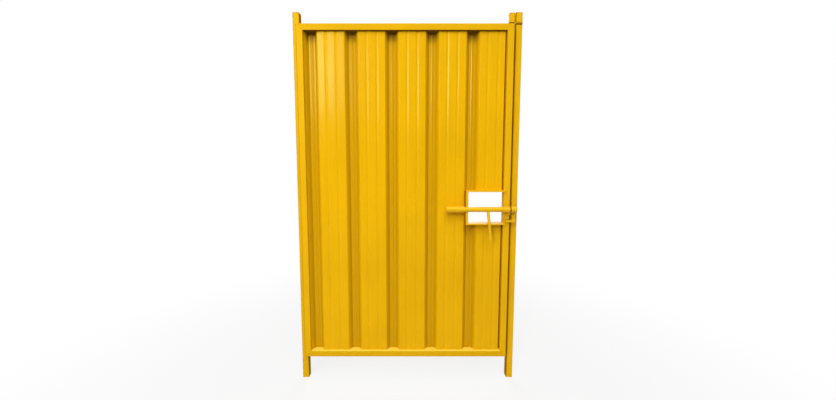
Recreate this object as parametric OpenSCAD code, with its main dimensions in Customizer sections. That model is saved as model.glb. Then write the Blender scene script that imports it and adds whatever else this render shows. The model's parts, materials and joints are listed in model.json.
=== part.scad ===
// Pedestrian gate of a site hoarding: two square-tube posts, a framed leaf clad in
// trapezoidal sheet, weld-on hinges, and a shoot bolt worked through a hand hole.
// Millimetres. +X runs from the hinge post to the latch post, +Y away from the face
// that carries the bolt, +Z up. The origin is the centre of the hinge post's foot.

/* [Overall] */
// Width over both posts
gate_w = 1200; // [1000:10:1500]
// Height over the posts' end plates
gate_h = 2000; // [1800:10:2400]

/* [Tube] */
// Outside width of every square tube
tube = 35; // [30:1:50]
// Wall of every square tube
tube_wall = 2; // [1.5:0.5:4]
// Outside corner radius of every square tube
tube_corner_r = 3.5; // [3:0.5:6]
// Thickness of the plates welded on the posts' ends
end_plate_t = 3; // [2:0.5:6]

/* [Leaf] */
// Underside of the leaf above the ground
leaf_bottom = 149; // [60:1:250]
// Top of the leaf below the top of the posts
leaf_drop = 75; // [65:1:150]
// Gap between the posts' front faces and the leaf's back
leaf_gap = 5; // [5:0.5:10]
// How far the leaf laps over the hinge post's front
hinge_lap = 6; // [2:0.5:9]
// Gap between the leaf's free edge and the latch post
latch_gap = 18; // [12:0.5:25]

/* [Cladding sheet] */
// Number of pans across the leaf
pans = 5; // [3:1:7]
// Sheet thickness
sheet_t = 1; // [0.7:0.1:2]
// Depth of the pans behind the frame's front
pan_recess = 10.5; // [5:0.5:15]
// Width of each valley between two pans
valley_w = 72; // [60:1:90]
// Width taken by each sloping flank of a valley
flank_w = 19; // [10:1:24]
// Width taken by the flank that ends the sheet at the latch stile
end_flank_w = 9; // [6:1:16]
// Width of the grooves pressed in the pans
groove_w = 18; // [12:1:24]
// Depth of the grooves pressed in the pans
groove_d = 3; // [1:0.5:5]
// Width of the rib pressed in each valley
rib_w = 14; // [10:1:20]
// Height of the rib pressed in each valley
rib_h = 3; // [1:0.5:5]
// Width of the flat strips that hold the sheet from behind
strip_w = 40; // [30:1:60]
// Thickness of those strips
strip_t = 3; // [2:0.5:5]

/* [Hinges] */
// Outside radius of the hinge knuckles
knuckle_r = 8; // [7:0.5:12]
// Length of one hinge knuckle
knuckle_h = 45; // [30:1:70]
// Radius of the hinge pins
hinge_pin_r = 5; // [4:0.5:6]
// Radial running clearance round the hinge pins
pin_clearance = 0.08; // [0.02:0.01:0.1]
// Clearance of a knuckle from the piece it turns past
knuckle_clearance = 5; // [5:0.5:8]
// Width of the weld tongue between a knuckle and what carries it
tongue_w = 8; // [6:0.5:12]
// Gap between the two knuckles of a hinge
knuckle_gap = 0.3; // [0.2:0.1:1]
// Height of the lower hinge above the leaf's underside
lower_hinge_z = 230; // [120:10:500]
// Depth of the upper hinge below the leaf's top
upper_hinge_z = 260; // [150:10:500]

/* [Hand hole] */
// Width of the hand hole, which the latch stile closes on one side
hole_w = 193; // [150:1:260]
// Height of the hand hole
hole_h = 166; // [140:1:240]
// Underside of the hand hole above the leaf's underside
hole_z = 752; // [500:1:1100]
// Thickness of the flat bars that line the hand hole
lining_t = 8; // [4:0.5:10]
// Thickness of the upright lining on the hole's hinge side
lining_side_t = 15; // [6:0.5:18]
// How far the lining stands in front of the bar's axis
lining_cover = 5.5; // [0:0.5:15]

/* [Bolt] */
// Radius of the bolt bar
bar_r = 13.5; // [11:0.1:16.5]
// Height of the bar's axis above the underside of the hand hole
bar_rise = 74; // [60:1:100]
// Radial clearance of the bar in its guide tubes
guide_clearance = 0.6; // [0.3:0.1:1]
// Wall of the guide tubes
guide_wall = 2.7; // [2:0.1:5]
// Wall of the keeper tube, which is as wide outside as the guide tubes
keeper_wall = 1.8; // [1.5:0.1:2.6]
// Length of the guide tube on the cladding sheet
long_guide_l = 97; // [70:1:140]
// Gap between the long guide tube and the hand hole's lining
long_guide_gap = 4; // [2:0.5:10]
// Length of the guide tube on the latch stile
short_guide_l = 32; // [25:1:45]
// Distance of the short guide tube from the leaf's free edge
short_guide_inset = 12; // [10:0.5:30]
// Thickness of the pad that spaces the short guide tube off its stile
pad_t = 5; // [5:0.5:10]
// How far the drawn-back bar's end stands out of the short guide tube
bar_proud = 4; // [0:0.5:5]
// Distance of the bar's other end inside the long guide tube
bar_tail_inset = 6; // [2:0.5:20]
// Radius of the handle rod
handle_r = 7.5; // [5:0.5:8]
// Distance of the handle from the hand hole's lining
handle_x = 104; // [80:1:130]
// Length of the handle below the hand hole
handle_drop = 74; // [50:1:120]
// Sideways lean of the handle over its length
handle_lean = 10; // [0:1:20]
// Gap between the hanging handle and the lining it rests on
handle_rest_gap = 0.5; // [0.3:0.1:1]
// Clearance between the bar and the handle's fitted end
handle_fit = 0.3; // [0.2:0.1:0.5]

/* [Keeper] */
// Width of the keeper plate on the latch post
keeper_plate_w = 19; // [16:1:28]
// Thickness of the keeper plate and the stop strap
keeper_plate_t = 5; // [4:0.5:5]
// Height of the keeper plate above the bar's axis
keeper_plate_up = 39; // [25:1:60]
// Depth of the keeper plate below the bar's axis
keeper_plate_down = 70.5; // [50:0.5:90]
// Distance of the keeper plate from the leaf's free edge
keeper_plate_gap = 6.5; // [6:0.5:8]
// Gap between the short guide tube and the keeper tube
keeper_gap = 8; // [7:0.5:10]
// Height of the stop strap
strap_h = 12.5; // [8:0.5:20]
// How far the stop strap reaches over the latch stile
strap_lap = 26.5; // [15:0.5:28]
// Gap between the stop strap and the pad above it
strap_gap = 2; // [1:0.5:6]
// Thickness of the padlock eye
eye_t = 5; // [4:0.5:8]
// Width of the padlock eye
eye_w = 16; // [14:0.5:24]
// Radius of the padlock eye's hole
eye_hole_r = 4.25; // [3:0.25:5]
// Depth of the eye's hole below the short guide tube
eye_hole_drop = 8; // [7:0.5:14]

/* [Head] */
// Height of the pair of short tubes that top the latch post
head_h = 56; // [40:1:60]
// Gap between the two short tubes
head_gap = 4.5; // [3:0.5:14]
// Outside width of the short square tube beside the latch post's head
head_stop_w = 27; // [20:1:35]
// Width, front to back, of the flat bar welded between them
packer_w = 20; // [12:1:26]
// Depth of that bar's top below the tubes' caps
packer_drop = 2; // [1:0.5:12]

/* [Hidden] */
$fn = 48;

// Paint colours
frame_paint = [0.90, 0.62, 0.05];
sheet_paint = [0.88, 0.60, 0.02];

// Posts
half_tube = tube / 2;
latch_post_x = gate_w - tube;
post_front = -half_tube;
head_z = gate_h - head_h;
head_stop_x = latch_post_x - half_tube - head_gap - head_stop_w / 2;

// Leaf frame
leaf_x0 = half_tube - hinge_lap;
leaf_x1 = latch_post_x - half_tube - latch_gap;
leaf_z0 = leaf_bottom;
leaf_z1 = gate_h - leaf_drop;
leaf_back = post_front - leaf_gap;
leaf_front = leaf_back - tube;
leaf_mid_y = leaf_back - half_tube;
inner_x0 = leaf_x0 + tube;
inner_x1 = leaf_x1 - tube;
inner_z0 = leaf_z0 + tube;
inner_z1 = leaf_z1 - tube;

// Sheet
pitch = (inner_x1 - inner_x0) / pans;
pan_y = leaf_front + pan_recess;
floor_y = leaf_back - sheet_t;
// The sheet's edge meets the flat of the latch stile in front of its round back corner
edge_y = leaf_back - tube_corner_r - 2 * sheet_t;
groove_slope = groove_w / 4;
rib_slope = rib_w / 4;
// Share of a pan's width from each of its edges to the middle of a groove
groove_place = 0.308;

// Hinges
hinge_x = half_tube + knuckle_clearance + knuckle_r;
hinge_y = leaf_back + knuckle_clearance + knuckle_r;
hinge_levels = [leaf_z0 + lower_hinge_z, leaf_z1 - upper_hinge_z - 2 * knuckle_h];

// Hand hole and bolt
hole_x0 = inner_x1 - hole_w;
hole_z0 = leaf_z0 + hole_z;
hole_z1 = hole_z0 + hole_h;
bar_z = hole_z0 + bar_rise;
guide_r = bar_r + guide_clearance + guide_wall;
guide_back = leaf_front - pad_t;
bar_y = guide_back - guide_r;
lining_front = bar_y - lining_cover;
short_guide_x1 = leaf_x1 - short_guide_inset;
short_guide_x0 = short_guide_x1 - short_guide_l;
long_guide_x1 = hole_x0 - lining_side_t - long_guide_gap;
long_guide_x0 = long_guide_x1 - long_guide_l;
bar_x0 = long_guide_x0 + bar_tail_inset;
bar_x1 = short_guide_x1 + bar_proud;
bar_chamfer = 2;
pad_margin = 6;
notch_clearance = 1.5;

// Handle: it hangs from the bar's axis and leans out just far enough to clear the lining
handle_top = [hole_x0 + handle_x, bar_y, bar_z];
handle_fall = bar_rise + lining_t + handle_drop;
handle_slope = (bar_y - lining_front + handle_rest_gap + handle_r) / bar_rise;
handle_reach = [handle_lean, -handle_fall * handle_slope, -handle_fall];
handle_l = norm(handle_reach);
handle_chamfer = 1.5;

// Keeper and padlock eye
eye_drop = guide_r + eye_hole_drop;
keeper_x0 = short_guide_x1 + keeper_gap;
plate_x0 = leaf_x1 + keeper_plate_gap;
plate_x1 = plate_x0 + keeper_plate_w;
plate_z0 = bar_z - keeper_plate_down;
strap_z1 = plate_z0 + strap_h;
plate_z1 = bar_z + keeper_plate_up;
plate_back = guide_back + keeper_plate_t;
standoff_x0 = latch_post_x - half_tube;

// A square with round corners, centred on the origin
module round_square(w, r) {
    square([w, w - 2 * r], center = true);
    square([w - 2 * r, w], center = true);
    for (sx = [-1, 1], sy = [-1, 1])
        translate([sx * (w / 2 - r), sy * (w / 2 - r)]) circle(r);
}

// A square tube along +Z from the origin
module square_tube(l, w = tube) {
    linear_extrude(l)
        difference() {
            round_square(w, tube_corner_r);
            round_square(w - 2 * tube_wall, tube_corner_r - tube_wall);
        }
}

// A plate that closes a square tube, along +Z from the origin
module end_plate(w = tube) {
    linear_extrude(end_plate_t) round_square(w, tube_corner_r);
}

// A round tube along +X from the origin
module round_tube(l, outer_r, inner_r) {
    rotate([0, 90, 0])
        difference() {
            cylinder(h = l, r = outer_r);
            translate([0, 0, -1]) cylinder(h = l + 2, r = inner_r);
        }
}

// A rod of radius r and length l along +Z from the origin, chamfered at its far end
module rod(l, r, chamfer) {
    rotate_extrude()
        polygon([[0, 0], [r, 0], [r, l - chamfer], [r - chamfer, l], [0, l]]);
}

// A slab through the leaf's depth whose outline lies in the plane of X and Z
module leaf_prism(outline) {
    translate([0, leaf_back + 1, 0])
        rotate([90, 0, 0])
            linear_extrude(tube + 2) polygon(outline);
}

module post(x, z1) {
    translate([x, 0, end_plate_t]) square_tube(z1 - end_plate_t);
}

// A mitred rail of the leaf's frame; outer_z is its outside edge and inner_z its inside edge
module rail(outer_z, inner_z) {
    intersection() {
        translate([leaf_x0, leaf_mid_y, (outer_z + inner_z) / 2])
            rotate([0, 90, 0]) square_tube(leaf_x1 - leaf_x0);
        leaf_prism([[leaf_x0, outer_z], [inner_x0, inner_z], [inner_x1, inner_z], [leaf_x1, outer_z]]);
    }
}

// A mitred stile of the leaf's frame; outer_x is its outside edge and inner_x its inside edge
module stile(outer_x, inner_x) {
    intersection() {
        translate([(outer_x + inner_x) / 2, leaf_mid_y, leaf_z0]) square_tube(leaf_z1 - leaf_z0);
        leaf_prism([[outer_x, leaf_z0], [inner_x, inner_z0], [inner_x, inner_z1], [outer_x, leaf_z1]]);
    }
}

// Front face of one valley, with the rib in its floor, from x
function valley_line(x) = [
    [x, pan_y],
    [x + flank_w, floor_y],
    [x + (valley_w - rib_w) / 2, floor_y],
    [x + (valley_w - rib_w) / 2 + rib_slope, floor_y - rib_h],
    [x + (valley_w + rib_w) / 2 - rib_slope, floor_y - rib_h],
    [x + (valley_w + rib_w) / 2, floor_y],
    [x + valley_w - flank_w, floor_y],
    [x + valley_w, pan_y]
];

// Front face of one groove centred on x
function groove_line(x) = [
    [x - groove_w / 2, pan_y],
    [x - groove_w / 2 + groove_slope, pan_y + groove_d],
    [x + groove_w / 2 - groove_slope, pan_y + groove_d],
    [x + groove_w / 2, pan_y]
];

// Front face of the whole sheet, from the hinge stile to the latch stile
function sheet_line() = concat(
    [for (i = [0 : pans - 1])
        let (x = inner_x0 + i * pitch, pan_w = pitch - valley_w)
            for (p = concat(
                valley_line(x),
                groove_line(x + valley_w + groove_place * pan_w),
                groove_line(x + valley_w + (1 - groove_place) * pan_w)
            )) p],
    [[inner_x1 - end_flank_w, pan_y], [inner_x1, edge_y]]
);

function reversed(list) = [for (i = [len(list) - 1 : -1 : 0]) list[i]];

module cladding_sheet() {
    front = sheet_line();
    back = [for (p = reversed(front)) p + [0, sheet_t]];
    color(sheet_paint)
        difference() {
            translate([0, 0, inner_z0])
                linear_extrude(inner_z1 - inner_z0) polygon(concat(front, back));
            translate([hole_x0 - lining_side_t, leaf_front, hole_z0 - lining_t])
                cube([hole_w + lining_side_t + 1, tube + 1, hole_h + 2 * lining_t]);
        }
}

// A flat strip across the back of the leaf, half on a rail and half on the sheet
module back_strip(z) {
    color(frame_paint)
        translate([inner_x0, leaf_back, z - strip_w / 2])
            cube([inner_x1 - inner_x0, strip_t, strip_w]);
}

// A knuckle's body and the tongue, along [dx, dy], that welds it to its carrier
module knuckle(z, dx, dy) {
    reach = knuckle_r + knuckle_clearance;
    translate([hinge_x, hinge_y, z]) {
        cylinder(h = knuckle_h, r = knuckle_r);
        translate([
            dx < 0 ? -reach : -tongue_w / 2,
            dy < 0 ? -reach : -tongue_w / 2,
            0
        ])
            cube([
                dx < 0 ? reach : tongue_w,
                dy < 0 ? reach : tongue_w,
                knuckle_h
            ]);
    }
}

// The post's half of a hinge: a knuckle with the pin standing in it
module hinge_seat(z) {
    color(frame_paint) {
        knuckle(z, -1, 0);
        translate([hinge_x, hinge_y, z + knuckle_h / 2])
            cylinder(h = knuckle_h * 1.5 + knuckle_gap, r = hinge_pin_r);
    }
}

// The leaf's half of a hinge: a knuckle bored for the pin
module hinge_knuckle(z) {
    color(frame_paint)
        difference() {
            knuckle(z + knuckle_h + knuckle_gap, 0, -1);
            translate([hinge_x, hinge_y, z])
                cylinder(h = 3 * knuckle_h, r = hinge_pin_r + pin_clearance);
        }
}

// A flat bar across the hand hole, with its lower face at z
module lining_flat(z) {
    color(frame_paint)
        translate([hole_x0 - lining_side_t, lining_front, z])
            cube([hole_w + lining_side_t, leaf_back - lining_front, lining_t]);
}

// The upright flat bar of the lining, notched where the bolt bar passes
module lining_side() {
    color(frame_paint)
        difference() {
            translate([hole_x0 - lining_side_t, lining_front, hole_z0])
                cube([lining_side_t, leaf_back - lining_front, hole_h]);
            translate([hole_x0 - lining_side_t - 1, bar_y, bar_z])
                rotate([0, 90, 0]) cylinder(h = lining_side_t + 2, r = bar_r + notch_clearance);
        }
}

module guide_tube(x, l) {
    color(frame_paint)
        translate([x, bar_y, bar_z]) round_tube(l, guide_r, bar_r + guide_clearance);
}

// The bar that spaces a guide tube off the face behind it
module guide_pad(x0, x1, z0, z1, back_y) {
    color(frame_paint)
        translate([x0, guide_back, z0]) cube([x1 - x0, back_y - guide_back, z1 - z0]);
}

// A pad on the nearest pan, inside the ends of the long guide tube
module long_guide_pad() {
    guide_pad(
        long_guide_x0 + pad_margin, long_guide_x1 - pad_margin,
        bar_z - guide_r / 2, bar_z + guide_r / 2, pan_y
    );
}

// A plate on the flat of the latch stile that reaches down to the stop strap
module short_guide_pad() {
    guide_pad(
        inner_x1 + tube_corner_r, leaf_x1 - 2 * tube_corner_r,
        strap_z1 + strap_gap, bar_z + guide_r / 2, leaf_front
    );
}

module bolt_bar() {
    color(frame_paint)
        translate([bar_x0, bar_y, bar_z])
            rotate([0, 90, 0]) rod(bar_x1 - bar_x0, bar_r, bar_chamfer);
}

module bolt_handle() {
    color(frame_paint)
        difference() {
            translate(handle_top)
                rotate([0, acos(handle_reach[2] / handle_l), atan2(handle_reach[1], handle_reach[0])])
                    rod(handle_l, handle_r, handle_chamfer);
            translate([bar_x0, bar_y, bar_z])
                rotate([0, 90, 0]) cylinder(h = bar_x1 - bar_x0, r = bar_r + handle_fit);
        }
}

// A lug across the bar's direction, under the end of the short guide tube
module padlock_eye() {
    top = guide_r * 0.8;
    color(frame_paint)
        translate([short_guide_x1, bar_y, bar_z])
            rotate([0, -90, 0])
                difference() {
                    union() {
                        translate([-eye_drop, -eye_w / 2, 0]) cube([eye_drop - top, eye_w, eye_t]);
                        translate([-eye_drop, 0, 0]) cylinder(h = eye_t, r = eye_w / 2);
                    }
                    translate([-eye_drop, 0, -1]) cylinder(h = eye_t + 2, r = eye_hole_r);
                    translate([0, 0, -1]) cylinder(h = eye_t + 2, r = guide_r);
                }
}

module keeper_standoff() {
    color(frame_paint)
        translate([standoff_x0, plate_back, plate_z0])
            cube([plate_x1 - standoff_x0, post_front - plate_back, plate_z1 - plate_z0]);
}

module keeper_plate() {
    color(frame_paint)
        translate([plate_x0, guide_back, plate_z0])
            cube([keeper_plate_w, keeper_plate_t, plate_z1 - plate_z0]);
}

module keeper_tube() {
    color(frame_paint)
        translate([keeper_x0, bar_y, bar_z])
            round_tube(plate_x1 - keeper_x0, guide_r, guide_r - keeper_wall);
}

// The flat bar that joins the two short tubes, set back behind their faces
module head_packer() {
    color(frame_paint)
        translate([head_stop_x + head_stop_w / 2, -packer_w / 2, head_z])
            cube([head_gap, packer_w, head_h - end_plate_t - packer_drop]);
}

module stop_strap() {
    color(frame_paint)
        translate([leaf_x1 - strap_lap, guide_back - keeper_plate_t, plate_z0])
            cube([plate_x1 - leaf_x1 + strap_lap, keeper_plate_t, strap_h]);
}

color(frame_paint) post(0, gate_h - end_plate_t);  // hinge_post
color(frame_paint) end_plate();  // hinge_post_foot
color(frame_paint) translate([0, 0, gate_h - end_plate_t]) end_plate();  // hinge_post_cap
color(frame_paint) post(latch_post_x, head_z);  // latch_post
color(frame_paint) translate([latch_post_x, 0, 0]) end_plate();  // latch_post_foot
color(frame_paint) translate([latch_post_x, 0, head_z]) square_tube(head_h - end_plate_t);  // head_post_tube
color(frame_paint) translate([latch_post_x, 0, gate_h - end_plate_t]) end_plate();  // head_post_cap
color(frame_paint) translate([head_stop_x, 0, head_z]) square_tube(head_h - end_plate_t, head_stop_w);  // head_stop_tube
color(frame_paint) translate([head_stop_x, 0, gate_h - end_plate_t]) end_plate(head_stop_w);  // head_stop_cap
head_packer();
hinge_seat(hinge_levels[0]);  // lower_hinge_seat
hinge_seat(hinge_levels[1]);  // upper_hinge_seat
keeper_standoff();
keeper_plate();
keeper_tube();
stop_strap();
color(frame_paint) rail(leaf_z1, inner_z1);  // top_rail
color(frame_paint) rail(leaf_z0, inner_z0);  // bottom_rail
color(frame_paint) stile(leaf_x0, inner_x0);  // hinge_stile
color(frame_paint) stile(leaf_x1, inner_x1);  // latch_stile
cladding_sheet();
back_strip(inner_z1);  // top_back_strip
back_strip(inner_z0);  // bottom_back_strip
hinge_knuckle(hinge_levels[0]);  // lower_hinge_knuckle
hinge_knuckle(hinge_levels[1]);  // upper_hinge_knuckle
lining_flat(hole_z1);  // lining_top
lining_side();
lining_flat(hole_z0 - lining_t);  // lining_bottom
long_guide_pad();
guide_tube(long_guide_x0, long_guide_l);  // long_guide_tube
short_guide_pad();
guide_tube(short_guide_x0, short_guide_l);  // short_guide_tube
padlock_eye();
bolt_bar();
bolt_handle();
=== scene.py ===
"""The looks of a site hoarding's pedestrian gate, built round its CAD frame.

The gate is welded from square steel tube, clad in profiled sheet and painted yellow all over.
Lengths are in metres. +X runs from the hinge post to the latch post, and the bolt is on the -Y side.
"""

import json
import math

import bmesh
import bpy
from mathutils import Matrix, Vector, noise


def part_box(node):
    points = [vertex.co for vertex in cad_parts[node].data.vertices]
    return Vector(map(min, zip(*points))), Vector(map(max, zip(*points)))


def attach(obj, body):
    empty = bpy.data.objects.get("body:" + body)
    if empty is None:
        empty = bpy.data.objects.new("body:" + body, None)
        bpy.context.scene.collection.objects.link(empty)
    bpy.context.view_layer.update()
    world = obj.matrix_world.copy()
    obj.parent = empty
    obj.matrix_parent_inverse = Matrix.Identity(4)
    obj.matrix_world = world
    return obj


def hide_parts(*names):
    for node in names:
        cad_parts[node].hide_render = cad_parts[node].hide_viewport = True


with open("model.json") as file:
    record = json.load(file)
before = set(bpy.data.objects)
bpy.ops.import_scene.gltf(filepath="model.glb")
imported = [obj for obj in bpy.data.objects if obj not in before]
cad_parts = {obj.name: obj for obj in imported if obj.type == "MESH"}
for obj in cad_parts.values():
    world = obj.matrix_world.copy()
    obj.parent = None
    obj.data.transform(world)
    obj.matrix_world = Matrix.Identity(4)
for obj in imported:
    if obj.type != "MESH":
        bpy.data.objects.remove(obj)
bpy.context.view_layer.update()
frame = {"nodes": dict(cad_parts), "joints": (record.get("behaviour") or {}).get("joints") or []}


# ---------------------------------------------------------------------------------------------
# Viewpoint. A short lens stands close in front of the gate, a little above its middle, and looks
# slightly down, so the posts lean together towards the ground.

LENS = 12.45
FILM_WIDTH = 36
LENS_PITCH = math.radians(4.53)
LENS_SHIFT = 0.0125
EYE_HEIGHT = 1.145
EYE_DISTANCE = 1.575

hinge_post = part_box("hinge_post")
latch_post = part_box("latch_post")

GATE_FOOT = ((hinge_post[0].x + latch_post[1].x) / 2, 0, 0)

camera_data = bpy.data.cameras.new("camera")
camera_data.lens = LENS
camera_data.sensor_width = FILM_WIDTH
camera_data.shift_x = LENS_SHIFT
camera_data.clip_start = 0.01
camera = bpy.data.objects.new("camera", camera_data)
camera.location = (GATE_FOOT[0], hinge_post[0].y - EYE_DISTANCE, EYE_HEIGHT)
camera.rotation_euler = (math.pi / 2 - LENS_PITCH, 0, 0)
bpy.context.collection.objects.link(camera)
bpy.context.scene.camera = camera
bpy.context.scene.view_settings.view_transform = "Standard"


# ---------------------------------------------------------------------------------------------
# Studio. A pale floor that turns white away from the gate, under a white world. A tall narrow softbox
# lies as a gloss on the upper left pans, one beyond it draws the bright lines in the grooves, a large
# distant one lights the front, one overhead shades the valleys' tops, and one lights the back.

FLOOR_COLOUR = (0.6, 0.6, 0.6, 1)
FLOOR_SIZE = 40
FLOOR_NEAR = 0.9
FLOOR_FAR = 2.6
FLOOR_GLOW = 0.82
WORLD_LIGHT = 0.05
WHITE = (1, 1, 1, 1)


class Wire:
    """An output socket of a node tree. Arithmetic on it adds Math nodes, node() adds any other."""

    def __init__(self, tree, socket=None):
        self.tree = tree
        self.socket = socket

    def node(self, kind, settings=(), inputs=(), output=0):
        made = self.tree.nodes.new(kind)
        for name, value in dict(settings).items():
            setattr(made, name, value)
        for name, value in dict(inputs).items():
            if isinstance(value, Wire):
                self.tree.links.new(value.socket, made.inputs[name])
            else:
                made.inputs[name].default_value = value
        return Wire(self.tree, made.outputs[output] if made.outputs else None)

    def maths(self, operation, *values):
        return self.node("ShaderNodeMath", {"operation": operation}, dict(enumerate(values)))

    def __add__(self, other):
        return self.maths("ADD", self, other)

    def __radd__(self, other):
        return self.maths("ADD", other, self)

    def __sub__(self, other):
        return self.maths("SUBTRACT", self, other)

    def __rsub__(self, other):
        return self.maths("SUBTRACT", other, self)

    def __mul__(self, other):
        return self.maths("MULTIPLY", self, other)

    def __rmul__(self, other):
        return self.maths("MULTIPLY", other, self)

    def along(self, axis):
        """This vector's part along an axis."""
        return self.node("ShaderNodeSeparateXYZ", inputs={0: self}, output=axis)

    def rises(self, low, high):
        """0 where this is low or less, 1 where it is high or more, and smooth between."""
        smooth = {"interpolation_type": "SMOOTHSTEP"}
        return self.node("ShaderNodeMapRange", smooth, {0: self, 1: low, 2: high, 3: 0.0, 4: 1.0})

    def blend(self, low_colour, high_colour):
        """low_colour where this is 0, high_colour where it is 1."""
        colours = {0: self, 6: low_colour, 7: high_colour}
        return self.node("ShaderNodeMix", {"data_type": "RGBA"}, colours, output=2)


def new_material(name):
    """A new material and a wire to its empty node tree."""
    material = bpy.data.materials.new(name)
    material.use_nodes = True
    material.node_tree.nodes.clear()
    return material, Wire(material.node_tree)


def seen_directly(wire):
    """1 for rays from the camera, from gloss and through glass, and 0 for the rest."""
    path = "ShaderNodeLightPath"
    seen = wire.node(path, output="Is Camera Ray") + wire.node(path, output="Is Glossy Ray")
    seen = seen + wire.node(path, output="Is Transmission Ray")
    return seen.maths("MINIMUM", seen, 1.0)


def pale_floor():
    """Chalk with the gate's own soft shadow on it, which turns plain white further away."""
    material, wire = new_material("pale_floor")
    place = wire.node("ShaderNodeTexCoord", output="Object")
    distance = {"operation": "DISTANCE"}
    reach = wire.node("ShaderNodeVectorMath", distance, {0: place, 1: GATE_FOOT}, output=1)
    bare = reach.rises(FLOOR_NEAR, FLOOR_FAR) * (1 - FLOOR_GLOW) + FLOOR_GLOW
    chalk = wire.node("ShaderNodeBsdfDiffuse", inputs={"Color": FLOOR_COLOUR})
    glow = wire.node("ShaderNodeEmission", inputs={"Color": WHITE, "Strength": 1.0})
    mixed = wire.node("ShaderNodeMixShader", inputs={0: seen_directly(wire) * bare, 1: chalk, 2: glow})
    wire.node("ShaderNodeOutputMaterial", inputs={"Surface": mixed})
    return material


def pale_world():
    """White where it is seen, and an even dim light on everything else."""
    world = bpy.data.worlds.new("studio")
    world.use_nodes = True
    world.node_tree.nodes.clear()
    wire = Wire(world.node_tree)
    dim = wire.node("ShaderNodeBackground", inputs={"Color": WHITE, "Strength": WORLD_LIGHT})
    white = wire.node("ShaderNodeBackground", inputs={"Color": WHITE, "Strength": 1.0})
    mixed = wire.node("ShaderNodeMixShader", inputs={0: seen_directly(wire), 1: dim, 2: white})
    wire.node("ShaderNodeOutputWorld", inputs={"Surface": mixed})
    return world


def softbox(name, place, target, width, height, watts):
    """A rectangular lamp at place that faces target."""
    data = bpy.data.lights.new(name, "AREA")
    data.shape = "RECTANGLE"
    data.size = width
    data.size_y = height
    data.energy = watts
    lamp = bpy.data.objects.new(name, data)
    lamp.location = place
    lamp.rotation_euler = (Vector(target) - Vector(place)).to_track_quat("-Z", "Y").to_euler()
    bpy.context.collection.objects.link(lamp)


floor_mesh = bpy.data.meshes.new("floor")
half = FLOOR_SIZE / 2
floor_corners = [(-half, -half, 0), (half, -half, 0), (half, half, 0), (-half, half, 0)]
floor_mesh.from_pydata(floor_corners, [], [(0, 1, 2, 3)])
floor = bpy.data.objects.new("floor", floor_mesh)
floor.data.materials.append(pale_floor())
bpy.context.collection.objects.link(floor)
bpy.context.scene.world = pale_world()
softbox("window", (-0.8, -3.5, 2.95), (0.2, 0, 1.6), width=0.3, height=1.2, watts=33)
softbox("side_window", (-3.0, -6.0, 3.7), (0.6, 0, 1.6), width=2.2, height=1.9, watts=182)
softbox("overhead", (4.4, -24, 29.0), (0.6, 0, 1.0), width=20.0, height=16.0, watts=6900)
softbox("skylight", (0.6, -2.2, 7.5), (0.6, 0, 1.0), width=4.0, height=3.0, watts=150)
softbox("back", (0.6, 4.2, 3.4), (0.6, 0, 1.0), width=3.0, height=2.4, watts=130)


# ---------------------------------------------------------------------------------------------
# Posts and leaf frame. Cold-rolled square tube, mitred and welded, then sprayed in one coat that
# shows a faint orange peel. The tube, its round corners and its end plates are the CAD nodes.

X_AXIS, Y_AXIS, Z_AXIS = range(3)
TUBE_YELLOW = (0.76, 0.42, 0.005)
# The rails' coat: the frame's yellow painted a shade darker.
RAIL_SHADED_YELLOW = (0.71, 0.388, 0.004)
DARKEST = 0.94
PALEST = 1.04
GLOSS_TINT = (1.0, 0.8, 0.25, 1)
TUBE_ROUGHNESS = 0.32
TUBE_GLOSS = 0.05
DUST_COLOUR = (0.4, 0.22, 0.01, 1)
DUST_LOW = 0.02
DUST_TOP = 0.35
DUST_SHARE = 0.25
DUST_ROUGHNESS = 0.8
# A paler yellow painted on the bottom rail's top ledge as a painted highlight.
LEDGE_HIGHLIGHT = (0.86, 0.6, 0.06, 1)
# Painted shade deep in the sheet's valleys, made patchy by the tone's drift.
VALLEY_SHADE_COLOUR = (0.56, 0.3, 0.001, 1)
# Painted shade in the gaps beside the leaf, the hand hole's lining and the keeper.
GAP_SHADE = (0.46, 0.2, 0.0, 1)
# A dark painted shadow under seams and rails, and in the slit between the head tubes.
SEAM_SHADOW = (0.16, 0.075, 0.002, 1)
# Painted shade on the hinge post's inner side.
SIDE_SHADE = (0.52, 0.27, 0.005, 1)
# Painted shade along the hinge post's outer edge and the hinge stile's outer edge.
EDGE_SHADE = (0.58, 0.33, 0.004, 1)
PATCHINESS = 0.5
# How far the painted shadow under the top rail darkens towards its darkest colour.
RAIL_SHADOW_SHARE = 0.85
GAP_FADE = 0.002
DRIFT_SCALE = 2.5
DRIFT_PART = 0.6
RUN_SCALE = (60.0, 60.0, 2.5)
RUN_PART = 0.25
SPECK_SCALE = 90.0
SPECK_PART = 0.15
SPECK_ROUGHNESS = 0.1
SPECK_RANGE = (0.35, 0.75)
TONE_RANGE = (0.35, 0.65)
PEEL_SCALE = 450
PEEL_DEPTH = 0.00003
SMOOTH_TURN = math.radians(35)
LOOSE_REACH = 0.00001
EASED_EDGE = 0.0005
EASED_TURN = math.radians(40)
EASED_STEPS = 2
BEAD_RIPPLE = 0.0016
BEAD_OVERLAP = 1.3
BEAD_UNEVENNESS = 0.08
BEAD_SEED = 7


def tinted(colour, share):
    """A colour made darker or paler by a share of itself, with its alpha."""
    return tuple(min(1.0, c * share) for c in colour) + (1,)


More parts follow.
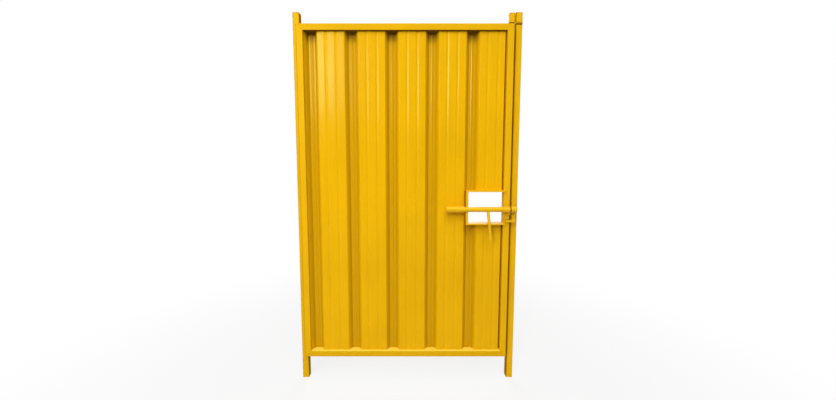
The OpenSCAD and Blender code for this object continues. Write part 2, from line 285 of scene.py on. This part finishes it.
def spray_paint(name, colour, roughness, gloss, tint=GLOSS_TINT, hollows=None, under=None, gaps=()):
    """Gloss enamel: its tone drifts a little, its skin is orange peel, and dust dulls its lowest part.

    tint is the colour of its gloss. hollows is the depth, as (where it starts, where it ends), over
    which a painted shade darkens the coat deep in the valleys, and under the height, given alike, over
    which a darker painted shadow lies below a rail. gaps are narrow places, as (axis, middle, half
    width, colour), each painted a flat dull colour that hides the gloss: a painted shade, or a painted
    highlight.
    """
    material, wire = new_material(name)
    place = wire.node("ShaderNodeTexCoord", output="Object")
    height = place.along(Z_AXIS)
    drift = wire.node("ShaderNodeTexNoise", inputs={"Vector": place, "Scale": DRIFT_SCALE, "Detail": 3.0})
    speck = wire.node("ShaderNodeTexNoise", inputs={"Vector": place, "Scale": SPECK_SCALE, "Detail": 4.0})
    peel = wire.node("ShaderNodeTexNoise", inputs={"Vector": place, "Scale": PEEL_SCALE, "Detail": 1.0})
    runs_place = wire.node("ShaderNodeMapping", inputs={"Vector": place, "Scale": RUN_SCALE})
    runs = wire.node("ShaderNodeTexNoise", inputs={"Vector": runs_place, "Scale": 1.0, "Detail": 3.0})
    tone = drift * DRIFT_PART + runs * RUN_PART + speck * SPECK_PART
    enamel = tone.rises(*TONE_RANGE).blend(tinted(colour, DARKEST), tinted(colour, PALEST))
    # Painted shade that darkens the coat with depth into the valleys, and a darker painted shadow in them
    # just below the top rail.
    if hollows:
        valley_shade = place.along(Y_AXIS).rises(*hollows) * (drift * PATCHINESS + (1 - PATCHINESS / 2))
        enamel = valley_shade.blend(enamel, VALLEY_SHADE_COLOUR)
        rail_shadow = valley_shade * height.rises(*under) * RAIL_SHADOW_SHARE
        enamel = rail_shadow.blend(enamel, SEAM_SHADOW)
    dusty = (1 - height.rises(DUST_LOW, DUST_TOP)) * speck.rises(*SPECK_RANGE) * DUST_SHARE
    skin = {"Height": peel, "Distance": PEEL_DEPTH, "Strength": 1.0}
    finish = {
        "Base Color": dusty.blend(enamel, DUST_COLOUR),
        "Roughness": roughness + (speck - 0.5) * SPECK_ROUGHNESS + dusty * DUST_ROUGHNESS,
        "Specular IOR Level": gloss,
        "Specular Tint": tint,
        "Normal": wire.node("ShaderNodeBump", inputs=skin),
    }
    coat = wire.node("ShaderNodeBsdfPrincipled", inputs=finish)
    # Each band is laid over the coat as a flat dull colour: a painted shade, or a painted highlight.
    for axis, middle, half_width, band_colour in gaps:
        across = place.along(axis) - middle
        inside = 1 - across.maths("ABSOLUTE", across).rises(half_width, half_width + GAP_FADE)
        dull = wire.node("ShaderNodeBsdfDiffuse", inputs={"Color": band_colour})
        coat = wire.node("ShaderNodeMixShader", inputs={0: inside, 1: coat, 2: dull})
    wire.node("ShaderNodeOutputMaterial", inputs={"Surface": coat})
    return material


def tube_coat(name, *gaps, colour=TUBE_YELLOW):
    """The frame's own paint, with each of gaps laid on as a narrow band of painted shade or painted
    highlight.
    """
    return spray_paint(name, colour, TUBE_ROUGHNESS, TUBE_GLOSS, gaps=gaps)


def eased_faces():
    """A node tree that joins a mesh's loose triangles and rounds the shading of its curved faces."""
    tree = bpy.data.node_groups.new("eased_faces", "GeometryNodeTree")
    tree.interface.new_socket("Geometry", in_out="INPUT", socket_type="NodeSocketGeometry")
    tree.interface.new_socket("Geometry", in_out="OUTPUT", socket_type="NodeSocketGeometry")
    angle = tree.interface.new_socket("Sharp angle", in_out="INPUT", socket_type="NodeSocketFloat")
    angle.default_value = SMOOTH_TURN
    wire = Wire(tree)
    mesh = wire.node("NodeGroupInput")
    sharp_angle = Wire(tree, mesh.socket.node.outputs["Sharp angle"])
    joined = wire.node("GeometryNodeMergeByDistance", inputs={"Geometry": mesh, "Distance": LOOSE_REACH})
    folds = wire.node("GeometryNodeInputMeshEdgeAngle")
    greater = {"data_type": "FLOAT", "operation": "GREATER_THAN"}
    sharp = wire.node("FunctionNodeCompare", greater, {0: folds, 1: sharp_angle})
    smooth = {"Geometry": joined, "Shade Smooth": True}
    rounded = wire.node("GeometryNodeSetShadeSmooth", {"domain": "FACE"}, smooth)
    creased = {"Geometry": rounded, "Selection": sharp, "Shade Smooth": False}
    crisp = wire.node("GeometryNodeSetShadeSmooth", {"domain": "EDGE"}, creased)
    wire.node("NodeGroupOutput", inputs={"Geometry": crisp})
    return tree


EASED_FACES = eased_faces()


def dress(names, material, edge=EASED_EDGE):
    """Gives CAD nodes their paint and takes the sharpness off their edges."""
    for name in names:
        node = frame["nodes"][name]
        node.data.materials.clear()
        node.data.materials.append(material)
        node.modifiers.new("eased faces", "NODES").node_group = EASED_FACES
        rounding = node.modifiers.new("eased edges", "BEVEL")
        rounding.width = edge
        rounding.segments = EASED_STEPS
        rounding.limit_method = "ANGLE"
        rounding.angle_limit = EASED_TURN
        rounding.harden_normals = True


def geometry_tree(name, sizes):
    """A node tree that takes geometry, some sizes and a paint, and wires to these in that order."""
    tree = bpy.data.node_groups.new(name, "GeometryNodeTree")
    tree.interface.new_socket("Geometry", in_out="INPUT", socket_type="NodeSocketGeometry")
    for size in sizes:
        tree.interface.new_socket(size, in_out="INPUT", socket_type="NodeSocketFloat")
    tree.interface.new_socket("Paint", in_out="INPUT", socket_type="NodeSocketMaterial")
    tree.interface.new_socket("Geometry", in_out="OUTPUT", socket_type="NodeSocketGeometry")
    given = tree.nodes.new("NodeGroupInput").outputs
    return tree, [Wire(tree, socket) for socket in given if socket.name]


def painted_copies(laid, coat):
    """Ends a tree with painted copies, laid as the node that sets copies on points takes them."""
    copies = coat.node("GeometryNodeInstanceOnPoints", inputs=laid)
    solid = coat.node("GeometryNodeRealizeInstances", inputs={"Geometry": copies})
    smooth = coat.node("GeometryNodeSetShadeSmooth", inputs={"Geometry": solid, "Shade Smooth": True})
    painted = coat.node("GeometryNodeSetMaterial", inputs={"Geometry": smooth, "Material": coat})
    coat.node("NodeGroupOutput", inputs={"Geometry": painted})


def bead_ripples():
    """A node tree that lays a weld bead's overlapping ripples along curves."""
    tree, given = geometry_tree("bead_ripples", ("Half width", "Ripple", "Unevenness"))
    seams, half_width, ripple, unevenness, coat = given
    steps = {"Curve": seams, "Length": ripple}
    points = seams.node("GeometryNodeCurveToPoints", {"mode": "LENGTH"}, steps)
    turned = Wire(tree, points.socket.node.outputs["Rotation"])
    spread = {2: 1 - unevenness, 3: 1 + unevenness, "Seed": BEAD_SEED}
    width = seams.node("FunctionNodeRandomValue", {"data_type": "FLOAT"}, spread, output=1)
    width = width * half_width
    size = seams.node("ShaderNodeCombineXYZ", inputs={0: width, 1: width, 2: ripple * BEAD_OVERLAP})
    blob = seams.node("GeometryNodeMeshUVSphere", inputs={"Segments": 8, "Rings": 5, "Radius": 1.0})
    painted_copies({"Points": points, "Instance": blob, "Rotation": turned, "Scale": size}, coat)
    return tree


BEAD_RIPPLES = bead_ripples()


def set_inputs(modifier, values):
    """Sets a node modifier's inputs by their names in the tree."""
    for item in modifier.node_group.interface.items_tree:
        if item.item_type == "SOCKET" and item.in_out == "INPUT" and item.name in values:
            modifier[item.identifier] = values[item.name]


def baked_piece(name, source):
    """A plain mesh piece made from what source's modifiers give, in place of source."""
    bpy.context.view_layer.update()
    mesh = bpy.data.meshes.new_from_object(source.evaluated_get(bpy.context.evaluated_depsgraph_get()))
    mesh.name = name
    bpy.data.objects.remove(source)
    piece = bpy.data.objects.new(name, mesh)
    bpy.context.collection.objects.link(piece)
    return piece


def grown_piece(name, body, data, tree, values):
    """Grows a piece that rides on body from data's points or curves, by a node tree."""
    source = bpy.data.objects.new(name, data)
    bpy.context.collection.objects.link(source)
    modifier = source.modifiers.new("growth", "NODES")
    modifier.node_group = tree
    set_inputs(modifier, values)
    piece = baked_piece(name, source)
    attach(piece, body)


def weld_beads(name, body, seams, half_width, coat, unevenness=BEAD_UNEVENNESS):
    """Lays a bead along each seam, a list of points, as one piece that rides on body."""
    path = bpy.data.curves.new(name, "CURVE")
    path.dimensions = "3D"
    for seam in seams:
        spline = path.splines.new("POLY")
        spline.points.add(len(seam) - 1)
        for point, place in zip(spline.points, seam):
            point.co = (*place, 1)
    sizes = {"Half width": half_width, "Ripple": BEAD_RIPPLE, "Unevenness": unevenness}
    grown_piece(name, body, path, BEAD_RIPPLES, sizes | {"Paint": coat})


def ring_round(box, z, cut):
    """A closed seam round a square tube at height z, with its corners cut off."""
    (x0, y0, _), (x1, y1, _) = box
    ring = [
        (x0 + cut, y0), (x1 - cut, y0), (x1, y0 + cut), (x1, y1 - cut),
        (x1 - cut, y1), (x0 + cut, y1), (x0, y1 - cut), (x0, y0 + cut),
    ]
    return [(x, y, z) for x, y in ring + ring[:1]]


def stitches(start, end, length, count):
    """Short straight seams of one length, spread evenly from start to end."""
    start, end = Vector(start), Vector(end)
    along = (end - start).normalized()
    room = (end - start).length - length
    firsts = [start + along * room * i / max(1, count - 1) for i in range(count)]
    return [[tuple(first), tuple(first + along * length)] for first in firsts]


def domes():
    """A node tree that sets a low dome on each point, sized across, through and along the wall."""
    tree, (points, radius, height, coat) = geometry_tree("domes", ("Radius", "Height"))
    size = points.node("ShaderNodeCombineXYZ", inputs={0: radius, 1: radius, 2: height})
    ball = points.node("GeometryNodeMeshUVSphere", inputs={"Segments": 12, "Rings": 6, "Radius": 1.0})
    facing = (math.pi / 2, 0, 0)
    painted_copies({"Points": points, "Instance": ball, "Rotation": facing, "Scale": size}, coat)
    return tree


DOMES = domes()


def studs(name, body, places, radius, height, coat):
    """Sets a dome that faces front and back at each place, as one piece that rides on body."""
    mesh = bpy.data.meshes.new(name)
    mesh.from_pydata(places, [], [])
    values = {"Radius": radius, "Height": height, "Paint": coat}
    grown_piece(name, body, mesh, DOMES, values)


def gap_between(left, right, spread, band_colour):
    """The gap between two faces, left and right, with a band of painted shade that spreads past both."""
    return X_AXIS, (left + right) / 2, (right - left) / 2 + spread, band_colour


SEAM_RISE = 0.0085
SEAM_HALF = 0.0034
# How far below the head's seams their painted shadows lie.
STOP_SHADOW_DROP = 0.0055
POST_SHADOW_DROP = 0.003
GAP_SPREAD = 0.002
SIDE_HALF = 0.001
POST_EDGE_HALF = 0.003
STILE_EDGE_HALF = 0.004
RAIL_EDGE_HALF = 0.0015

hinge_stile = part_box("hinge_stile")
latch_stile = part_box("latch_stile")
top_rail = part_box("top_rail")
bottom_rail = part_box("bottom_rail")
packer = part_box("head_packer")
head_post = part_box("head_post_tube")
head_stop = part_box("head_stop_tube")
head_seam = head_post[0].z

# Painted shade in the gap between the latch stile and the latch post.
leaf_gap = gap_between(latch_stile[1].x, latch_post[0].x, GAP_SPREAD, GAP_SHADE)
# Painted shade in the slit between the two head tubes, and painted shadows under the stop tube's seam and
# the post's head seam.
head_gap = gap_between(packer[0].x, packer[1].x, GAP_SPREAD / 2, SEAM_SHADOW)
under_stop = (Z_AXIS, head_seam + SEAM_RISE - STOP_SHADOW_DROP, SEAM_HALF, SEAM_SHADOW)
under_post_head = (Z_AXIS, head_seam - POST_SHADOW_DROP, SEAM_HALF, SEAM_SHADOW)
# Painted shade on the hinge post's inner side and along its outer edge, and along the hinge stile's outer
# edge where it meets the post.
post_side = (X_AXIS, hinge_post[1].x, SIDE_HALF, SIDE_SHADE)
post_edge = (X_AXIS, hinge_post[0].x, POST_EDGE_HALF, EDGE_SHADE)
stile_edge = (X_AXIS, hinge_stile[0].x, STILE_EDGE_HALF, EDGE_SHADE)
# A painted shadow along the top rail's underside and lower edge.
rail_under = (Z_AXIS, top_rail[0].z, RAIL_EDGE_HALF, SEAM_SHADOW)
# A painted highlight along the bottom rail's top ledge.
rail_ledge = (Z_AXIS, bottom_rail[1].z, RAIL_EDGE_HALF, LEDGE_HIGHLIGHT)

tube_paint = tube_coat("tube_paint")
dress(["latch_post_foot"], tube_paint)
# The latch post and stile carry painted shade in the gap between them and a painted shadow under the
# post's head.
dress(["latch_post", "latch_stile"], tube_coat("gap_paint", leaf_gap, under_post_head))
# The hinge post's paint has painted shade on its inner side and along its outer edge.
dress(
    ["hinge_post", "hinge_post_foot", "hinge_post_cap"],
    tube_coat("hinge_post_paint", post_side, post_edge),
)
# The hinge stile's paint has painted shade along its outer edge.
dress(["hinge_stile"], tube_coat("hinge_stile_paint", stile_edge))
# The head tubes carry painted shade in the slit between them and a painted shadow under the stop tube's
# seam.
dress(
    ["head_packer", "head_stop_tube", "head_stop_cap", "head_post_tube", "head_post_cap"],
    tube_coat("head_paint", head_gap, under_stop),
)
# Both rails are painted a shade darker than the posts; the top rail also has a painted shadow under it
# and the bottom rail a painted highlight on its ledge.
dress(["top_rail"], tube_coat("top_rail_paint", rail_under, colour=RAIL_SHADED_YELLOW))
dress(["bottom_rail"], tube_coat("bottom_rail_paint", rail_ledge, colour=RAIL_SHADED_YELLOW))

CORNER_CUT = 0.0035
FRONT_FACE = 0.0035
END_WELD = 0.0009
HEAD_WELD = 0.0025
HEAD_WELD_RISE = 0.002
HEAD_UNEVENNESS = 0.14
MITRE_WELD = 0.001
CORNER_WELD = 0.0028

end_seams = [
    ring_round(hinge_post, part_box("hinge_post_foot")[1].z, CORNER_CUT),
    ring_round(hinge_post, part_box("hinge_post_cap")[0].z, CORNER_CUT),
    ring_round(latch_post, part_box("latch_post_foot")[1].z, CORNER_CUT),
    ring_round(head_post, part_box("head_post_cap")[0].z, CORNER_CUT),
    ring_round(head_stop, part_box("head_stop_cap")[0].z, CORNER_CUT),
]
weld_beads("post_end_welds", "posts", end_seams, END_WELD, tube_paint)
head_seams = [
    ring_round(head_post, head_seam + HEAD_WELD_RISE, CORNER_CUT),
    ring_round(head_stop, head_seam + SEAM_RISE, CORNER_CUT),
]
head_seams += [
    [(x, y, head_seam), (x, y, packer[1].z)]
    for y in (packer[0].y, packer[1].y)
    for x in (packer[0].x, packer[1].x)
]
weld_beads("head_welds", "posts", head_seams, HEAD_WELD, tube_paint, HEAD_UNEVENNESS)

stile_x = (hinge_stile[1].x, latch_stile[0].x)
inner_z = (bottom_rail[1].z, top_rail[0].z)
depth = (top_rail[0].y + FRONT_FACE, top_rail[1].y - FRONT_FACE)
corner_seams = [[(x, depth[0], z), (x, depth[1], z)] for x in stile_x for z in inner_z]
outer_x = (hinge_stile[0].x + CORNER_CUT, latch_stile[1].x - CORNER_CUT)
outer_z = (bottom_rail[0].z + CORNER_CUT, top_rail[1].z - CORNER_CUT)
mitre_seams = [
    [(x0, y, z0), (x1, y, z1)]
    for x0, x1 in zip(stile_x, outer_x)
    for z0, z1 in zip(inner_z, outer_z)
    for y in (top_rail[0].y, top_rail[1].y)
]
weld_beads("leaf_mitre_welds", "leaf", mitre_seams, MITRE_WELD, tube_paint)
weld_beads("leaf_corner_welds", "leaf", corner_seams, CORNER_WELD, tube_paint)


# ---------------------------------------------------------------------------------------------
# Cladding. One millimetre sheet pressed into pans and valleys, each pan with two grooves and each
# valley with a rib. It is sprayed with the frame, its bends are round and its pans lie a little slack.

SHEET_YELLOW = (0.76, 0.41, 0.001)
SHEET_TINT = (1.0, 0.92, 0.45, 1)
SHEET_ROUGHNESS = 0.2
SHEET_GLOSS = 0.13
# Depths over which painted shade darkens the valleys, and heights under the top rail where it turns to a
# painted shadow.
VALLEY_SHADE_DEPTH = (-0.0455, -0.0265)
RAIL_SHADOW_HEIGHT = (1.825, 1.89)
SAME = 1e-5
BEND_RADIUS = 0.003
PRESSED = 0.0042
PRESSED_FLAT = 0.002
PRESSED_SHARE = 0.75
SOFT_RADIUS = 0.008
SOFT_TURN = math.radians(26)
BEND_STEPS = 4
BEND_MARGIN = 0.0012
BEND_SHARE = 0.4
CREASE = math.radians(60)
PAN_STEP = 0.02
SHEET_ROW = 0.045
SLACK = 0.0006
SLACK_SCALE = (5.5, 1.7)
SLACK_ROW = 0.3
HELD_EDGE = 0.15
SHEET_GAP = 0.0002

sheet_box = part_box("cladding_sheet")
sheet_node = frame["nodes"]["cladding_sheet"]


def sheet_corners():
    """The front outline of the sheet, left to right, as (x, y) corners, and the sheet's thickness."""
    front = {}
    back = {}
    for vertex in sheet_node.data.vertices:
        if abs(vertex.co.z - sheet_box[1].z) < SAME:
            x = round(vertex.co.x, 5)
            front[x] = min(vertex.co.y, front.get(x, 1))
            back[x] = max(vertex.co.y, back.get(x, -1))
    corners = [Vector((x, front[x])) for x in sorted(front)]
    flat_depths = (min(front.values()), max(front.values()))
    for a, b in zip(corners, corners[1:]):
        level = min(flat_depths, key=lambda y: abs(a.y - y))
        if abs(a.y - b.y) < SAME < abs(a.y - level) < PRESSED:
            middle = (a.x + b.x) / 2
            a.x = middle - PRESSED_FLAT / 2
            b.x = middle + PRESSED_FLAT / 2
            a.y = b.y = level + (a.y - level) * PRESSED_SHARE
    first = min(front)
    return corners, back[first] - front[first]


def bent(corners):
    """The outline with an arc at each corner, and finer steps along its straight stretches."""
    points = [corners[0]]
    for before, corner, after in zip(corners, corners[1:], corners[2:]):
        arrive = (corner - before).normalized()
        leave = (after - corner).normalized()
        turn = abs(arrive.angle_signed(leave))
        radius = SOFT_RADIUS if turn < SOFT_TURN else BEND_RADIUS
        room = BEND_SHARE * min((corner - before).length, (after - corner).length)
        run = min(radius * math.tan(turn / 2), room)
        start = corner - arrive * run
        end = corner + leave * run
        points.append(start - arrive * min(BEND_MARGIN, run))
        for i in range(BEND_STEPS + 1):
            t = i / BEND_STEPS
            points.append(start * (1 - t) ** 2 + corner * 2 * t * (1 - t) + end * t**2)
        points.append(end + leave * min(BEND_MARGIN, run))
    points.append(corners[-1])
    fine = [points[0]]
    for a, b in zip(points, points[1:]):
        steps = max(1, math.ceil((b - a).length / PAN_STEP))
        fine += [a.lerp(b, i / steps) for i in range(1, steps + 1)]
    return fine


def levels(low, high, step):
    """Even levels from low to high, about a step apart."""
    count = max(1, round((high - low) / step))
    return [low + (high - low) * i / count for i in range(count + 1)]


def pressed_sheet(name, hole_x, hole_low, hole_high):
    """Both skins of the sheet with the edges between them, less the hand hole."""
    corners, thickness = sheet_corners()
    hole_edge = Vector((hole_x, corners[-1].y))
    outline = sorted(bent(corners) + [hole_edge], key=lambda p: p.x)
    column = outline.index(hole_edge)
    a = outline[column - 1]
    b = outline[column + 1]
    outline[column] = a.lerp(b, (hole_x - a.x) / (b.x - a.x))
    low = sheet_box[0].z + SHEET_GAP
    high = sheet_box[1].z - SHEET_GAP
    rows = levels(low, hole_low, SHEET_ROW) + levels(hole_low, hole_high, SHEET_ROW)[1:]
    rows += levels(hole_high, high, SHEET_ROW)[1:]
    form = bmesh.new()
    skins = []
    for depth in (0, thickness):
        grid = []
        for z in rows:
            held = min(1, (z - low) / HELD_EDGE, (high - z) / HELD_EDGE)
            line = []
            for p in outline:
                spot = Vector((p.x * SLACK_SCALE[0], SLACK_ROW, z * SLACK_SCALE[1]))
                sway = noise.noise(spot) * SLACK * held
                line.append(form.verts.new((p.x, p.y + depth + sway, z)))
            grid.append(line)
        skins.append(grid)
    kept = {
        (i, j)
        for i in range(len(rows) - 1)
        for j in range(len(outline) - 1)
        if not (j >= column and hole_low <= (rows[i] + rows[i + 1]) / 2 <= hole_high)
    }
    front, back = skins
    for i, j in kept:
        form.faces.new((front[i][j], front[i][j + 1], front[i + 1][j + 1], front[i + 1][j]))
        form.faces.new((back[i][j], back[i + 1][j], back[i + 1][j + 1], back[i][j + 1]))
        for di, dj, (a, b) in (
            (-1, 0, ((0, 0), (0, 1))),
            (0, 1, ((0, 1), (1, 1))),
            (1, 0, ((1, 1), (1, 0))),
            (0, -1, ((1, 0), (0, 0))),
        ):
            if (i + di, j + dj) not in kept:
                ends = [(i + a[0], j + a[1]), (i + b[0], j + b[1])]
                rim = [front[r][c] for r, c in reversed(ends)] + [back[r][c] for r, c in ends]
                form.faces.new(rim)
    loose = [v for v in form.verts if not v.link_faces]
    bmesh.ops.delete(form, geom=loose, context="VERTS")
    for face in form.faces:
        face.smooth = True
    for edge in form.edges:
        edge.smooth = edge.calc_face_angle(0) < CREASE
    mesh = bpy.data.meshes.new(name)
    form.to_mesh(mesh)
    form.free()
    piece = bpy.data.objects.new(name, mesh)
    bpy.context.collection.objects.link(piece)
    return piece


# The sheet's paint carries painted shade in its valleys and a painted shadow under the top rail.
sheet_paint = spray_paint(
    "sheet_paint", SHEET_YELLOW, SHEET_ROUGHNESS, SHEET_GLOSS, SHEET_TINT, VALLEY_SHADE_DEPTH, RAIL_SHADOW_HEIGHT
)
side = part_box("lining_side")
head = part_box("lining_top")
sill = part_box("lining_bottom")
cladding = pressed_sheet("pressed_sheet", side[0].x, sill[0].z, head[1].z)
cladding.data.materials.append(sheet_paint)
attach(cladding, "leaf")
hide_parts("cladding_sheet")

TACK_LENGTH = 0.022
TACK_COUNT = 7
TACK_END = 0.06
TACK_WELD = 0.0017

outline, sheet_thickness = sheet_corners()
tacks = []
for edge, stile in ((outline[0], stile_x[0]), (outline[-1], stile_x[1])):
    back = edge.y + sheet_thickness
    low = (stile, back, inner_z[0] + TACK_END)
    high = (stile, back, inner_z[1] - TACK_END)
    row = stitches(low, high, TACK_LENGTH, TACK_COUNT)
    if stile == stile_x[1]:
        row = [seam for seam in row if seam[1][2] < sill[0].z or seam[0][2] > head[1].z]
    tacks += row
weld_beads("sheet_tacks", "leaf", tacks, TACK_WELD, tube_paint)


# ---------------------------------------------------------------------------------------------
# Flat bar and fittings. The strips behind the sheet, the hand hole's lining, the guides, the keeper
# and the hinges are sawn from flat bar, tube and rod, welded on and sprayed with the frame.

BAR_EDGE = 0.0012
FILLET = 0.0022
SMALL_FILLET = 0.0016
FITTING_ROUGHNESS = 0.3
FITTING_GLOSS = 0.4
LINING_EDGE_HALF = 0.002
KEEPER_SEAM = 0.0085
KNUCKLE_RADIUS = 0.008
TONGUE_HALF = 0.004
HANDLE_RADIUS = 0.0075
RING_STEPS = 24
RIVET_RADIUS = 0.004
RIVET_HEIGHT = 0.0017
RIVET_INSET = 0.010
TAIL_RADIUS = 0.0027
TAIL_HEIGHT = 0.0035

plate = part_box("keeper_plate")
# Painted shade along the side lining's outer edge.
lining_edge = (X_AXIS, side[0].x, LINING_EDGE_HALF, GAP_SHADE)
# Painted shade on the keeper plate's side that faces the gap.
keeper_side = (X_AXIS, plate[0].x, SIDE_HALF, GAP_SHADE)

fitting_paint = spray_paint("fitting_paint", TUBE_YELLOW, FITTING_ROUGHNESS, FITTING_GLOSS)
# The lining's paint carries that painted shade along the side lining's outer edge.
lining_paint = spray_paint(
    "lining_paint", TUBE_YELLOW, FITTING_ROUGHNESS, FITTING_GLOSS, gaps=[lining_edge]
)
dress(
    [
        "top_back_strip", "bottom_back_strip", "lower_hinge_seat", "upper_hinge_seat",
        "lower_hinge_knuckle", "upper_hinge_knuckle", "padlock_eye",
    ],
    tube_paint,
)
# The keeper's paint has painted shade on the plate's side that faces the gap.
dress(["keeper_standoff", "keeper_plate"], tube_coat("keeper_paint", keeper_side))
dress(
    ["keeper_tube", "long_guide_tube", "short_guide_tube", "bolt_bar", "bolt_handle"], fitting_paint
)
dress(["lining_top", "lining_side", "lining_bottom"], lining_paint, BAR_EDGE)
dress(["stop_strap", "long_guide_pad", "short_guide_pad"], fitting_paint, BAR_EDGE)


def edges_along_x(low, high, y, heights):
    """Seams along a box's length, on its wall at y, one at each height."""
    return [[(low.x, y, z), (high.x, y, z)] for z in heights]


def edges_along_z(low, high, y, places):
    """Seams up a box's sides, on its wall at y, one at each X."""
    return [[(x, y, low.z), (x, y, high.z)] for x in places]


pan_front = sheet_box[0].y
lining_seams = [
    [(side[1].x, side[0].y + BAR_EDGE, side[1].z), (side[1].x, pan_front, side[1].z)],
    [(side[1].x, side[0].y + BAR_EDGE, side[0].z), (side[1].x, pan_front, side[0].z)],
    [(side[0].x, pan_front + FILLET, sill[0].z), (side[0].x, pan_front + FILLET, head[1].z)],
]
lining_seams += [
    [(stile_x[1], head[0].y + BAR_EDGE + FILLET, z), (stile_x[1], latch_stile[0].y, z)]
    for z in (head[1].z, sill[0].z)
]
weld_beads("lining_welds", "leaf", lining_seams, FILLET, tube_paint)

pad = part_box("long_guide_pad")
guide_seams = edges_along_x(pad[0], pad[1], pad[0].y, (pad[0].z, pad[1].z))
guide_seams += edges_along_x(pad[0], pad[1], pad[1].y, (pad[0].z, pad[1].z))
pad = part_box("short_guide_pad")
guide_seams += edges_along_z(pad[0], pad[1], pad[1].y, (pad[0].x, pad[1].x))
guide_seams += edges_along_x(pad[0], pad[1], pad[1].y, (pad[0].z, pad[1].z))
guide_seams += edges_along_x(pad[0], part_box("short_guide_tube")[1], pad[0].y, (pad[1].z,))
weld_beads("guide_welds", "leaf", guide_seams, SMALL_FILLET, tube_paint)

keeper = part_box("keeper_tube")
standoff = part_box("keeper_standoff")
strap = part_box("stop_strap")
keeper_height = (keeper[0].z + keeper[1].z) / 2
keeper_sides = (keeper_height - KEEPER_SEAM, keeper_height + KEEPER_SEAM)
keeper_seams = edges_along_x(plate[0], plate[1], plate[0].y, keeper_sides)
keeper_seams += edges_along_x(plate[0], plate[1], plate[0].y, (strap[1].z,))
keeper_seams += edges_along_z(standoff[0], standoff[1], standoff[0].y, (standoff[0].x,))
keeper_seams += edges_along_z(standoff[0], standoff[1], standoff[1].y, (standoff[1].x,))
weld_beads("keeper_welds", "posts", keeper_seams, SMALL_FILLET, tube_paint)

hinge_seams = {"posts": [], "leaf": []}
for hinge in ("lower_hinge", "upper_hinge"):
    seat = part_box(hinge + "_seat")
    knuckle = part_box(hinge + "_knuckle")
    pin_x = knuckle[1].x - KNUCKLE_RADIUS
    pin_y = seat[1].y - KNUCKLE_RADIUS
    seat_top = knuckle[0].z - SMALL_FILLET
    for shift in (-TONGUE_HALF, TONGUE_HALF):
        y = pin_y + shift
        x = pin_x + shift
        hinge_seams["posts"].append([(seat[0].x, y, seat[0].z), (seat[0].x, y, seat_top)])
        hinge_seams["leaf"].append([(x, knuckle[0].y, knuckle[0].z), (x, knuckle[0].y, knuckle[1].z)])
for body, seams in hinge_seams.items():
    weld_beads("hinge_welds_" + body, body, seams, FILLET, tube_paint)

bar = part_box("bolt_bar")
bar_radius = (bar[1].z - bar[0].z) / 2
bar_y = (bar[0].y + bar[1].y) / 2
bar_z = (bar[0].z + bar[1].z) / 2
handle_x = next(joint["pos_m"][0] for joint in frame["joints"] if joint["name"] == "handle_turn")
ring = []
for i in range(RING_STEPS + 1):
    turn = math.tau * i / RING_STEPS
    across = HANDLE_RADIUS * math.sin(turn)
    drop = math.sqrt(bar_radius**2 - across**2)
    ring.append((handle_x + HANDLE_RADIUS * math.cos(turn), bar_y + across, bar_z - drop))
weld_beads("handle_weld", "handle", [ring], SMALL_FILLET, tube_paint)

floor_front = max(corner.y for corner in outline)
flats = [
    (a.x + b.x) / 2
    for a, b in zip(outline, outline[1:])
    if a.y > floor_front - SAME and b.y > floor_front - SAME
]
top_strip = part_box("top_back_strip")
bottom_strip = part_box("bottom_back_strip")
rivet_levels = [top_strip[0].z + RIVET_INSET, bottom_strip[1].z - RIVET_INSET]
heads = [(x, floor_front, z) for x in flats for z in rivet_levels]
tails = [(x, top_strip[1].y, z) for x in flats for z in rivet_levels]
# The rivet heads take the sheet's paint, its painted valley shade included.
studs("rivet_heads", "leaf", heads, RIVET_RADIUS, RIVET_HEIGHT, sheet_paint)
studs("rivet_tails", "leaf", tails, TAIL_RADIUS, TAIL_HEIGHT, tube_paint)
